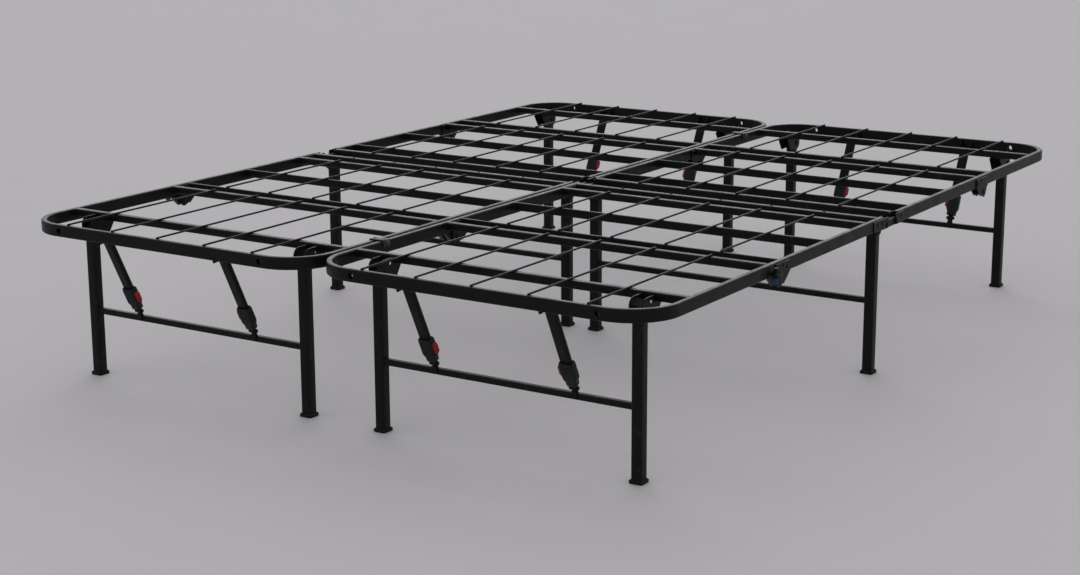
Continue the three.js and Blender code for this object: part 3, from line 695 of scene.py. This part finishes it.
# ---- Leg frames ----
def leg_tube(x, y, pivot):
    """A leg whose bore is open below and whose top is rounded about its pivot."""
    outer = round_rect(LEG, LEG, EDGE_R)
    bore = round_rect(LEG - 2 * WALL, LEG - 2 * WALL, EDGE_R - WALL)
    out = straight((x, y, CAP_FLANGE + 0.3 * MM), (x, y, pivot - 6 * MM), outer, Vector((0, 1, 0)), bore)
    top = [(y - LEG / 2, pivot - 7 * MM), *arc_points(y, pivot, LEG / 2, 180, 0, 16),
           (y + LEG / 2, pivot - 7 * MM)]
    out.add(plate(top, LEG, bevel=1.6 * MM), at(x) @ YZ)
    return out


def leg_frame(inset, y, pivot, bar_z, head_out, head_in):
    out, welds = Geo(), Geo()
    reach = HALF_WIDTH / 2 - inset
    for side in (-1, 1):
        x = side * reach
        out.add(leg_tube(x, y, pivot))
        ends = sorted((x + side * (LEG / 2 + head_out), x - side * (LEG / 2 + head_in)))
        out.add(rivet(*ends, y, pivot, 4.4 * MM, 1.5, 2.2 * MM))
        face = side * (reach - LEG / 2)
        b = LEG_BAR / 2
        r = 2.6 * MM
        loop = [(r - b, b), (b - r, b), (b, b - r), (b, r - b), (b - r, -b), (r - b, -b), (-b, r - b),
                (-b, b - r), (r - b, b)]
        welds.add(bead([Vector((face, y + u, bar_z + v)) for u, v in loop], 1.7 * MM, x))
    inner = reach - LEG / 2 + 0.7 * MM
    out.add(straight((-inner, y, bar_z), (inner, y, bar_z), round_rect(LEG_BAR, LEG_BAR, 2.8 * MM)))
    return out, welds


def on_strut(x):
    """Places what is drawn along +Y from the strut's pivot."""
    aim = math.atan2(STRUT_Z - END_BAR_Z, END_LEG_Y - STRUT_Y)
    return at(x, STRUT_Y, STRUT_Z) @ Matrix.Rotation(-aim, 4, "X")


STRUT_SPAN = math.hypot(STRUT_Z - END_BAR_Z, END_LEG_Y - STRUT_Y)


def catch():
    """The tongue on the crossbar that the buckle holds, with its cross bolt and its foot."""
    end = STRUT_SPAN - LEG_BAR / 2 + 1 * MM
    start = BUCKLE_START + BUCKLE_LENGTH - 10 * MM
    half = 6 * MM
    outline = corner_points([(-half, end), (half, end), (half, start), (-half, start)], 1.5 * MM)
    out = plate(outline, 3 * MM)
    out.add(rivet(-8 * MM, 8 * MM, BOLT_AT, 0, 3 * MM, 1.45, 2.4 * MM))
    knuckle = [(4.6 * MM, -6.4 * MM), (5.2 * MM, -5.8 * MM), (5.2 * MM, 5.8 * MM), (4.6 * MM, 6.4 * MM)]
    out.add(lathe(knuckle), at(0, BOLT_AT, 0) @ TURN_X)
    front = END_LEG_Y - LEG_BAR / 2
    low, high = END_BAR_Z - 4 * MM, END_BAR_Z + LEG_BAR / 2 + 4 * MM
    foot = corner_points([(-half, low), (half, low), (half, high), (-half, high)], 2 * MM)
    out.add(plate(foot, 3 * MM), on_strut(0).inverted() @ at(0, front - 1.4 * MM, 0) @ XZ)
    return out


# ---- Struts, buckles, buttons ----
def strut():
    w, t = STRUT_W, STRUT_T
    length = BUCKLE_START + BUCKLE_GRIP
    rings = []
    nose = [(-5.4, 0.30), (-4.6, 0.58), (-2.6, 0.86), (0, 0.98), (3, 1)]
    for y, share in [*nose, (length / MM - 0.5, 1), (length / MM, 0.95)]:
        rings.append([Vector((a, y * MM, b * share)) for a, b in round_rect(w, t, 4.4 * MM, 5)][::-1])
    body = rings_to_geo(rings)
    for sx in (-1, 1):  # pressed ribs along the flat faces
        for sz in (-1, 1):
            x, z = sx * 5 * MM, sz * (t / 2 - 0.35 * MM)
            body.add(straight((x, 16 * MM, z), (x, 108 * MM, z), round_rect(1.6 * MM, 1.2 * MM, 0.5 * MM, 2)))
    return body


def shell_ring(y, w, t, r):
    return [Vector((a, y, b)) for a, b in round_rect(w, t, r, 5)][::-1]


BUTTON_Y = BUCKLE_START + BUCKLE_GRIP + 2 * MM


def buckle_solid():
    w, t, s = BUCKLE_W, BUCKLE_T, BUCKLE_START
    steps = [(0, 0.90, 0.84), (0.8, 0.95, 0.90), (2.5, 0.98, 0.96), (4.4, 1, 1), (5.2, 0.965, 0.95),
             (6.6, 0.965, 0.95), (7.4, 1, 1), (34, 1, 1), (38, 0.96, 0.97), (42, 0.80, 0.90),
             (44, 0.74, 0.86), (52, 0.72, 0.84), (53.4, 0.68, 0.78), (54, 0.62, 0.70)]
    rings = [shell_ring(s + y * MM, w * a, t * b, 4.2 * MM * min(a, b)) for y, a, b in steps]
    return rings_to_geo(rings)


def cut(name, geo, cutters):
    """The solid less its cutters, as plain geometry."""
    holder = make_temp(name, geo)
    tools = [make_temp("cutter", g) for g in cutters]
    for tool in tools:
        modifier = holder.modifiers.new("cut", "BOOLEAN")
        modifier.operation = "DIFFERENCE"
        modifier.object = tool
        modifier.solver = "EXACT"
    graph = bpy.context.evaluated_depsgraph_get()
    mesh = bpy.data.meshes.new_from_object(holder.evaluated_get(graph))
    out = Geo([v.co.copy() for v in mesh.vertices], [tuple(p.vertices) for p in mesh.polygons])
    for thing in [holder, *tools]:
        bpy.data.objects.remove(thing)
    return out


def make_temp(name, geo):
    mesh = bpy.data.meshes.new(name)
    mesh.from_pydata(geo.verts, [], geo.faces)
    outward(mesh)
    holder = bpy.data.objects.new(name, mesh)
    bpy.context.scene.collection.objects.link(holder)
    return holder


def slab(x0, x1, y0, y1, z0, z1, r=1.0 * MM):
    outline = [(x0, y0), (x1, y0), (x1, y1), (x0, y1)]
    rings = [[Vector((u, v, z)) for u, v in corner_points(outline, r)] for z in (z0, z1)]
    return rings_to_geo(rings)


def buckle(side):
    end = BUCKLE_START + BUCKLE_LENGTH
    held = BUCKLE_START + BUCKLE_GRIP
    w, t = STRUT_W / 2 + 0.3 * MM, STRUT_T / 2 + 0.3 * MM
    grip = slab(-w, w, BUCKLE_START - 1 * MM, held + 0.3 * MM, -t, t, 0.5 * MM)
    slot = slab(-7.2 * MM, 7.2 * MM, held - 1 * MM, end + 1 * MM, -3 * MM, 3 * MM, 0.5 * MM)
    x0, x1 = sorted((0, side * (BUCKLE_W / 2 + 2 * MM)))
    tall = BUTTON_W / 2 + 0.5 * MM
    window = slab(x0, x1, BUTTON_Y - 0.5 * MM, BUTTON_Y + BUTTON_L + 0.5 * MM, -tall, tall)
    shell = cut("buckle", buckle_solid(), [grip, slot, window])
    for k in range(4):  # finger ribs on both flat faces
        y = BUCKLE_START + (11 + 5.5 * k) * MM
        for face in (-1, 1):
            z = face * (BUCKLE_T / 2 - 0.2 * MM)
            shell.add(straight((-8 * MM, y, z), (8 * MM, y, z), round_rect(2.2 * MM, 1.5 * MM, 0.6 * MM, 2)))
    return shell


def button(side):
    out_x = BUCKLE_W / 2 + BUTTON_OUT
    middle = BUTTON_Y + BUTTON_L / 2
    rings = []
    for depth, share in ((10.5, 0.98), (5.2, 0.98), (3.6, 0.95), (2.2, 0.87), (1.1, 0.76), (0.4, 0.62),
                         (0.0, 0.45), (0.1, 0.2)):
        x = side * (out_x - depth * MM)
        l, w = BUTTON_L * (1 - (1 - share) * 0.75), BUTTON_W * share
        ring = [Vector((x, middle + a, b)) for a, b in round_rect(l, w, min(2.4 * MM, w * 0.45), 4)]
        rings.append(ring if side > 0 else ring[::-1])
    body = rings_to_geo(rings)
    ridge = round_rect(1.0 * MM, 1.1 * MM, 0.4 * MM, 2)
    for k in (-1, 0, 1):  # grip ridges
        x, y = side * (out_x - 0.75 * MM), middle + k * 3.6 * MM
        body.add(straight((x, y, -2.2 * MM), (x, y, 2.2 * MM), ridge, Vector((1, 0, 0))))
    return body


# ---- Caps, pins, clips ----
def foot_cap():
    """A flange under the leg and a ribbed plug up its bore."""
    steps = [(0.0, 13.1, 2.4), (0.4, 13.7, 2.8), (1.3, 14.2, 3.2), (5.0, 14.3, 3.4), (6.0, 14.0, 3.4),
             (7.2, 12.7, 3.2), (8.0, 12.0, 3.2), (8.0, 9.2, 1.8), (24.6, 9.2, 1.8), (26.0, 8.4, 1.6)]
    body = rings_to_geo([[Vector((a, b, z * MM)) for a, b in round_rect(2 * h * MM, 2 * h * MM, r * MM, 5)]
                         for z, h, r in steps])
    for turn in range(4):  # two shallow moulded ribs on each side of the plug
        spin = Matrix.Rotation(math.radians(90 * turn), 4, "Z")
        for u in (-5, 5):
            body.add(straight((u * MM, 9.2 * MM, 10 * MM), (u * MM, 9.2 * MM, 24 * MM),
                              round_rect(1.2 * MM, 0.6 * MM, 0.25 * MM, 2), Vector((0, 1, 0))), spin)
    return body


PIN_Y = BREAK - 28 * MM
PIN_OUT = PLATE_IN + CHEEK + 5.5 * MM
LUG_LOW, LUG_HIGH = 326.5 * MM, 332 * MM


def pin_lug(side):
    x0 = RAIL_X + PLATE_IN + CHEEK - 0.2 * MM
    x1 = RAIL_X + PIN_OUT + 6.5 * MM
    y0, y1 = PIN_Y - 6.5 * MM, BREAK - 6 * MM
    outline = corner_points([(x0, y0), (x1, y0), (x1, y1), (x0, y1)], [0.2 * MM, 5 * MM, 5 * MM, 0.2 * MM])
    hole = circle_points(RAIL_X + PIN_OUT, PIN_Y, 4 * MM)
    lug = plate(outline, LUG_HIGH - LUG_LOW, [hole], 0.6 * MM).moved(at(0, 0, (LUG_LOW + LUG_HIGH) / 2))
    for z in (LUG_LOW + 0.2 * MM, LUG_HIGH - 0.2 * MM):
        lug.add(bead([Vector((x0, BREAK - 15 * MM, z)), Vector((x0, y1, z))], 1.2 * MM, z * 900))
    return lug.moved(Matrix.Scale(side, 4, Vector((1, 0, 0))))


def lock_pin():
    """A steel pin with a round head, and the ribbed sleeve on its lower end.

    Heights are from the lug's underside.
    """
    rod = [(3.5, -6), (3.5, 9), (3.1, 9.6), (3.1, 10.4), (3.5, 11), (3.5, 14.5), (4.6, 14.8),
           (5.0, 15.6), (5.0, 17), (4.6, 17.7), (3.8, 18), (0.5, 18)]
    ribs = [(0.6, -13.5), (3.8, -13.4), (5.0, -12.7), (5.5, -11.4), (5.5, -10), (5.1, -9.6),
            (5.1, -9), (5.5, -8.6), (5.5, -7.2), (5.1, -6.8), (5.1, -6.2), (5.5, -5.8),
            (5.5, -2.6), (4.7, -1.8), (3.55, -1.5)]
    steel, sleeve = [lathe([(r * MM, z * MM) for r, z in profile], 24) for profile in (rod, ribs)]
    return steel, sleeve


def connector():
    """A folded clip over both inner rails, with two rivets in its back and a knob on one side."""
    inside = HALF_GAP + RAIL_W + 0.3 * MM
    outside = inside + CHEEK
    base = DECK + 0.3 * MM
    low = DECK - 12 * MM
    outline = [(-outside, low), (-inside, low), (-inside, base), (inside, base), (inside, low),
               (outside, low), (outside, base + CHEEK), (-outside, base + CHEEK)]
    radii = [0.8 * MM, 0.8 * MM, 0.3 * MM, 0.3 * MM, 0.8 * MM, 0.8 * MM, 3 * MM, 3 * MM]
    body = plate(corner_points(outline, radii), CLIP_LENGTH, bevel=0.6 * MM).moved(XZ)
    dome = [(3.2, 0), (3.2, 0.4), (2.6, 0.8), (1.4, 1.0), (0.4, 1.1)]
    for x in (-11 * MM, 11 * MM):
        head = lathe([(r * MM, z * MM) for r, z in dome], 20)
        body.add(head, at(x, 0, base + CHEEK - 0.05 * MM))
    profile = [(5.4, 0), (5.6, 1.0), (5.6, 3.4), (4.9, 4.6), (2.8, 5.2), (0.4, 5.3)]
    knob = lathe([(r * MM, z * MM) for r, z in profile], 24)
    return body.add(knob, at(outside - 0.05 * MM, 0, DECK - 6 * MM) @ TURN_X)


# ---- Assembly ----
def centre_of(side):
    low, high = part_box(f"{side}_foot_section")
    return (low.x + high.x) / 2


def coated(name, geo, place, body, *nodes):
    build(name, geo, place, body, COAT, list(nodes))


def welded(name, geo, place, body):
    build(name, geo, place, body, WELD, angle=60)


def put_end(side, end):
    xc = centre_of(side)
    turned = end == "head"
    place = at(xc, END_Y)
    outer_side = -1 if side == "left" else 1
    if turned:
        place = Matrix.Rotation(math.pi, 4, "Z") @ at(-xc, END_Y)
        outer_side = -outer_side
    name = f"{side}_{end}"
    body = f"{end}_end"
    deck, wires, brackets, welds = END_PARTS[end]
    coated(f"{name}_deck_tubes", deck, place, body, f"{name}_section")
    coated(f"{name}_deck_wires", wires, place, body)
    coated(f"{name}_brackets", brackets, place, body)
    welded(f"{name}_deck_welds", welds, place, body)
    legs, leg_welds = END_LEGS
    leg_body = f"{name}_legs"
    coated(f"{name}_legs", legs, place, leg_body, f"{name}_leg_frame")
    welded(f"{name}_leg_welds", leg_welds, place, leg_body)
    for local in (-1, 1):
        rank = (local * (-1 if turned else 1) + 3) // 2
        leg_x = local * (HALF_WIDTH / 2 - END_LEG_INSET)
        build(f"{name}_cap_{rank}", CAP_GEO, place @ at(leg_x, END_LEG_Y), leg_body, CAP,
              [f"{name}_foot_cap_{rank}"])
        spot = place @ on_strut(local * STRUT_X)
        coated(f"{name}_catch_{rank}", CATCH_GEO, spot, leg_body)
        strut_body, button_body = f"{name}_strut_{rank}_body", f"{name}_button_{rank}_body"
        coated(f"{name}_brace_{rank}", STRUT_GEO, spot, strut_body, f"{name}_strut_{rank}")
        build(f"{name}_brace_buckle_{rank}", BUCKLES[-local], spot, strut_body, BUCKLE,
              [f"{name}_buckle_{rank}"])
        build(f"{name}_brace_button_{rank}", BUTTONS[-local], spot, button_body, RED,
              [f"{name}_button_{rank}"])
    if not turned:
        steel, sleeve = PIN_GEO
        pin = place @ at(outer_side * (RAIL_X + PIN_OUT), PIN_Y, LUG_LOW)
        coated(f"{side}_pin_rod", steel, pin, f"{side}_lock_pin_body")
        build(f"{side}_pin_sleeve", sleeve, pin, f"{side}_lock_pin_body", BLUE,
              [f"{side}_lock_pin"])
    middle = Geo()
    for local in (-1, 1):
        x = local * RAIL_X
        for face in (-1, 1):
            middle.add(cheek_plate(x, face))
        middle.add(break_pin(x))
    if not turned:
        middle.add(pin_lug(outer_side))
    coated(f"{name}_break_plates", middle, place, f"{end}_middle")


def put_middle(side, end, parts):
    place = at(centre_of(side), END_Y)
    deck, wires, brackets, welds = parts
    name = f"{side}_{end}_middle"
    coated(f"{name}_deck_tubes", deck, place, f"{end}_middle", f"{name}_section")
    coated(f"{name}_deck_wires", wires, place, f"{end}_middle")
    coated(f"{name}_brackets", brackets, place, f"{end}_middle")
    welded(f"{name}_deck_welds", welds, place, f"{end}_middle")


def link_bar():
    r = 8 * MM
    outline = arc_points(LINK_FAR, LINK_Z, r, -90, 90, 12) + arc_points(LINK_NEAR, LINK_Z, r, 90, 270, 12)
    holes = [circle_points(y, LINK_Z, 4.5 * MM) for y in (LINK_NEAR, LINK_FAR)]
    return plate(outline, EAR_T, holes, 0.9 * MM).moved(YZ)


END_PARTS = {"foot": end_section(FOOT_TUBES, True), "head": end_section(HEAD_TUBES, False)}
END_LEGS = leg_frame(END_LEG_INSET, END_LEG_Y, END_PIVOT_Z, END_BAR_Z, 4 * MM, 4 * MM)
MID_LEGS = leg_frame(MID_LEG_INSET, MID_LEG_Y, MID_PIVOT_Z, MID_BAR_Z, 3.6 * MM, 0.6 * MM)
CAP_GEO = foot_cap()
CATCH_GEO = catch()
STRUT_GEO = strut()
BUCKLES = {side: buckle(side) for side in (-1, 1)}
BUTTONS = {side: button(side) for side in (-1, 1)}
PIN_GEO = lock_pin()
LINK_GEO = link_bar()
CLIP_GEO = connector()
wire_tip = TUBE / 2 + WIRE_R - 0.2 * MM
NEAR_PARTS = middle_section(NEAR_BARS, NEAR_TUBES, (NEAR_BARS[0] - BAR_T / 2, NEAR_TUBES[0] + wire_tip),
                            (BREAK + 0.15 * MM, LINK_NEAR - LINK_RAIL_END), LINK_NEAR, -1, 68 * MM, True)
FAR_PARTS = middle_section(FAR_BARS, (LINK_TUBE, FAR_TUBE), (LINK_TUBE - TUBE / 2, FAR_TUBE + wire_tip),
                           (LINK_FAR + LINK_RAIL_END, LENGTH - BREAK - 0.15 * MM), LINK_FAR, 1, 38 * MM,
                           False)

for side in ("left", "right"):
    for end in ("foot", "head"):
        put_end(side, end)
    put_middle(side, "foot", NEAR_PARTS)
    put_middle(side, "head", FAR_PARTS)
    place = at(centre_of(side), END_Y)
    legs, leg_welds = MID_LEGS
    leg_body = f"{side}_middle_legs"
    coated(f"{side}_middle_leg_pair", legs, place, leg_body, f"{side}_middle_leg_frame")
    welded(f"{side}_middle_leg_welds", leg_welds, place, leg_body)
    for local in (-1, 1):
        rank = (local + 3) // 2
        x = local * (HALF_WIDTH / 2 - MID_LEG_INSET)
        build(f"{side}_middle_cap_{rank}", CAP_GEO, place @ at(x, MID_LEG_Y), leg_body, CAP,
              [f"{side}_middle_foot_cap_{rank}"])
        coated(f"{side}_link_bar_{rank}", LINK_GEO, place @ at(local * RAIL_X), "middle_links",
               f"{side}_link_{rank}")
for end, y in (("foot", END_Y + CLIP_Y), ("head", -END_Y - CLIP_Y)):
    build(f"{end}_clip", CLIP_GEO, at(0, y), f"{end}_end", GREY, [f"{end}_connector"])


# ---- Floor, lights, camera ----
FLOOR = (0.575, 0.563, 0.578)


def stage():
    mesh = bpy.data.meshes.new("floor")
    reach = 60.0
    corners = [(x * reach, y * reach, 0) for x, y in ((-1, -1), (1, -1), (1, 1), (-1, 1))]
    mesh.from_pydata(corners, [], [(0, 1, 2, 3)])
    floor = bpy.data.objects.new("floor", mesh)
    bpy.context.scene.collection.objects.link(floor)
    mat, tree, shader = new_material("floor", FLOOR, 0.95, specular=0.1)
    soft = noise_node(tree, 3, 2)
    darker = tuple(0.99 * v for v in FLOOR)
    tone = ramp(tree, soft.outputs["Fac"], [(0.3, darker), (0.7, FLOOR)])
    tree.links.new(tone, shader.inputs["Base Color"])
    mesh.materials.append(mat)


def sun_light(name, azimuth, elevation, power, spread):
    """A distant light that comes from the given direction; azimuth 0 is +Y, 90 is -X."""
    light = bpy.data.lights.new(name, "SUN")
    light.energy = power
    light.angle = math.radians(spread)
    a, e = math.radians(azimuth), math.radians(elevation)
    source = Vector((-math.sin(a) * math.cos(e), math.cos(a) * math.cos(e), math.sin(e)))
    holder = bpy.data.objects.new(name, light)
    holder.rotation_euler = source.to_track_quat("Z", "Y").to_euler()
    bpy.context.scene.collection.objects.link(holder)


def world_light(strength):
    world = bpy.data.worlds.new("studio")
    world.use_nodes = True
    back = world.node_tree.nodes["Background"]
    back.inputs["Color"].default_value = (0.96, 0.95, 0.97, 1)
    back.inputs["Strength"].default_value = strength
    bpy.context.scene.world = world


YAW, PITCH, ROLL = math.radians(33.044), math.radians(13.574), math.radians(-0.252)
LENS, SENSOR = 67.507, 36.0
CAMERA_AT = Vector((2.41899, END_Y - 2.89533, 1.2031))


def camera():
    data = bpy.data.cameras.new("camera")
    data.sensor_fit = "HORIZONTAL"
    data.sensor_width = SENSOR
    data.lens = LENS
    data.clip_end = 100
    holder = bpy.data.objects.new("camera", data)
    bpy.context.scene.collection.objects.link(holder)
    ahead = Vector((-math.sin(YAW) * math.cos(PITCH), math.cos(YAW) * math.cos(PITCH), -math.sin(PITCH)))
    right = Vector((math.cos(YAW), math.sin(YAW), 0))
    up = right.cross(ahead)
    level = right * math.cos(ROLL) + up * math.sin(ROLL)
    up = up * math.cos(ROLL) - right * math.sin(ROLL)
    holder.matrix_world = Matrix((
        (level.x, up.x, -ahead.x, CAMERA_AT.x),
        (level.y, up.y, -ahead.y, CAMERA_AT.y),
        (level.z, up.z, -ahead.z, CAMERA_AT.z),
        (0, 0, 0, 1)))
    bpy.context.scene.camera = holder


stage()
world_light(0.62)
sun_light("back", 33, 32, 1.0, 50)
camera()
bpy.context.scene.view_settings.view_transform = "Standard"
